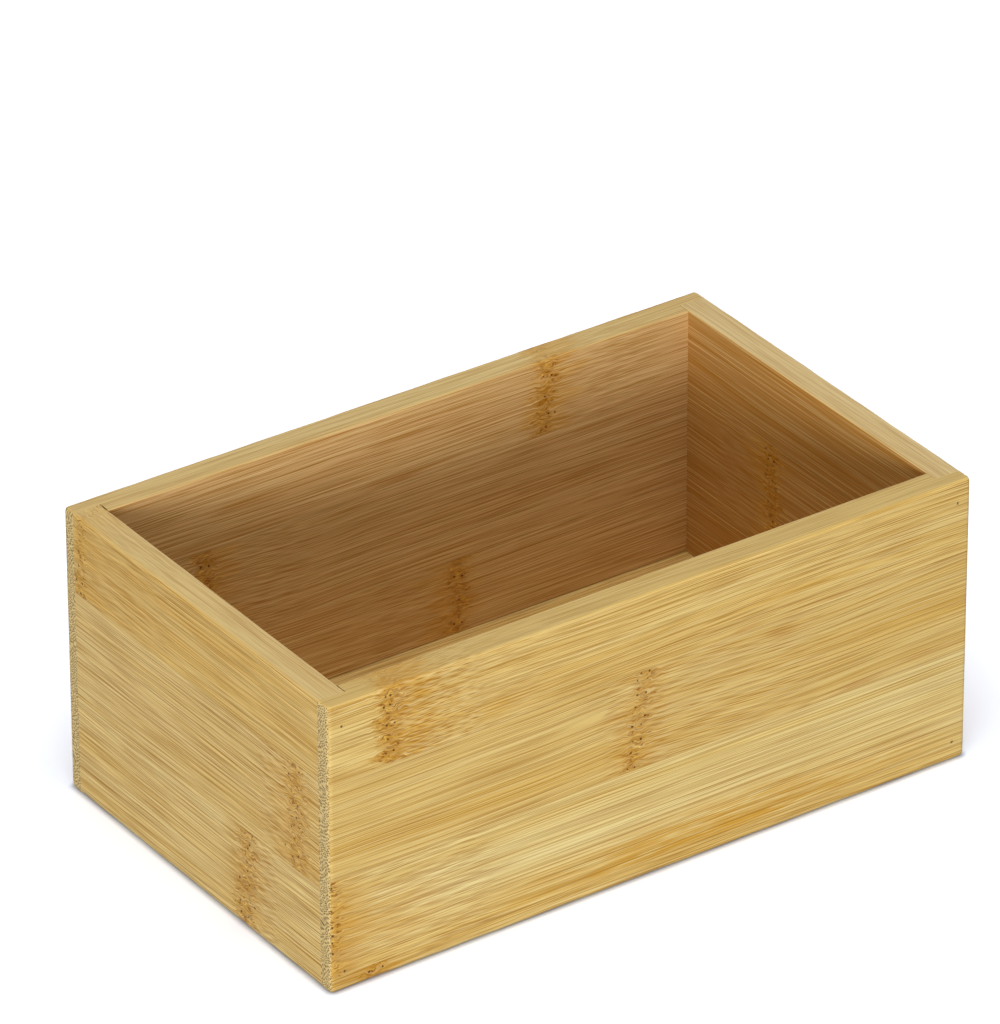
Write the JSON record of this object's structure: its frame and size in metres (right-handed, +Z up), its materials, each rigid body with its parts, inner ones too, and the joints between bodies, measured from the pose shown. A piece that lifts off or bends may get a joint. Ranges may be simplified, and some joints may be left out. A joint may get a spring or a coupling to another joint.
{
  "type": "storage box",
  "caption": "Open rectangular storage box of edge-glued bamboo strips, with rebated and pinned corners and a thin floor set in a groove.",
  "frame": {"origin": "middle of the footprint, on the surface that the box stands on", "axes": "+X along the box, with the front long board at -Y, and +Z up"},
  "size_m": [0.166, 0.101, 0.07],
  "materials": {
    "bamboo_long_boards": "satin, natural bamboo, grain along the board",
    "bamboo_side_boards": "satin, natural bamboo, grain along the board",
    "bamboo_floor": "satin, natural bamboo, grain along the box",
    "pin_steel": "dull, darkened"
  },
  "bodies": {
    "root": {"front_strip_1": "bamboo_long_boards", "front_strip_2": "bamboo_long_boards", "front_strip_3": "bamboo_long_boards", "front_strip_4": "bamboo_long_boards", "back_strip_1": "bamboo_long_boards", "back_strip_2": "bamboo_long_boards", "back_strip_3": "bamboo_long_boards", "back_strip_4": "bamboo_long_boards", "left_strip_1": "bamboo_side_boards", "left_strip_2": "bamboo_side_boards", "left_strip_3": "bamboo_side_boards", "right_strip_1": "bamboo_side_boards", "right_strip_2": "bamboo_side_boards", "right_strip_3": "bamboo_side_boards", "floor_strip_1": "bamboo_floor", "floor_strip_2": "bamboo_floor", "floor_strip_3": "bamboo_floor", "floor_strip_4": "bamboo_floor", "front_pins": "pin_steel", "back_pins": "pin_steel"}
  },
  "joints": []
}
